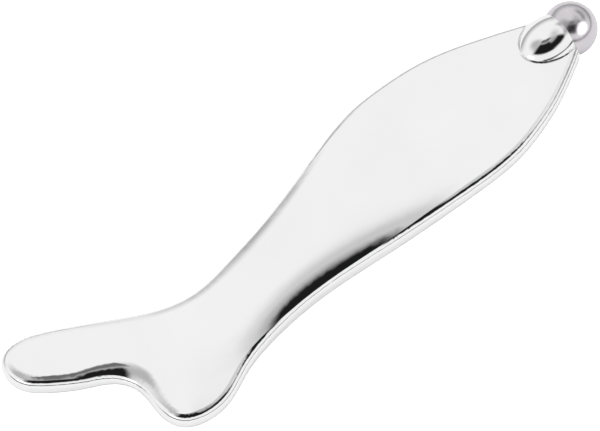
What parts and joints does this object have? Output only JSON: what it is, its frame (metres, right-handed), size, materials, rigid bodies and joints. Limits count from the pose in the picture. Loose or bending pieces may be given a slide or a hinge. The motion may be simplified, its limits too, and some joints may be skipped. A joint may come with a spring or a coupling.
{
  "type": "gua sha scraper",
  "caption": "Fish-shaped gua sha scraper in polished plated metal, with a forked tail and a magnet-held steel roller ball in an egg-shaped socket at its nose.",
  "frame": {"origin": "middle of the whole scraper's box in plan, at its lowest point, which is the underside of the roller ball", "axes": "+X from the tail to the roller ball, along the ball socket's axis; +Y across the plate towards the high tail lobe; +Z out of the plate's upper face"},
  "size_m": [0.1368, 0.035, 0.011],
  "materials": {
    "plated_zinc": "mirror-polished bright plating on a zinc die casting",
    "nickel_magnet": "dull nickel plating",
    "acetal": "natural white acetal, turned",
    "bearing_steel": "ground and polished steel, a little duller than the plating"
  },
  "bodies": {
    "scraper": {"scraper_body": "plated_zinc", "magnet": "nickel_magnet"},
    "seat": {"ball_seat": "acetal"},
    "ball": {"roller_ball": "bearing_steel"}
  },
  "joints": [
    {"name": "seat_swivel", "type": "hinge", "parent": "scraper", "child": "seat", "pos_m": [0.0629, 0.00491, 0.0055], "axis": [1, 0, 0], "continuous": true},
    {"name": "ball_roll", "type": "hinge", "parent": "seat", "child": "ball", "pos_m": [0.0629, 0.00491, 0.0055], "axis": [0, 1, 0], "continuous": true}
  ]
}
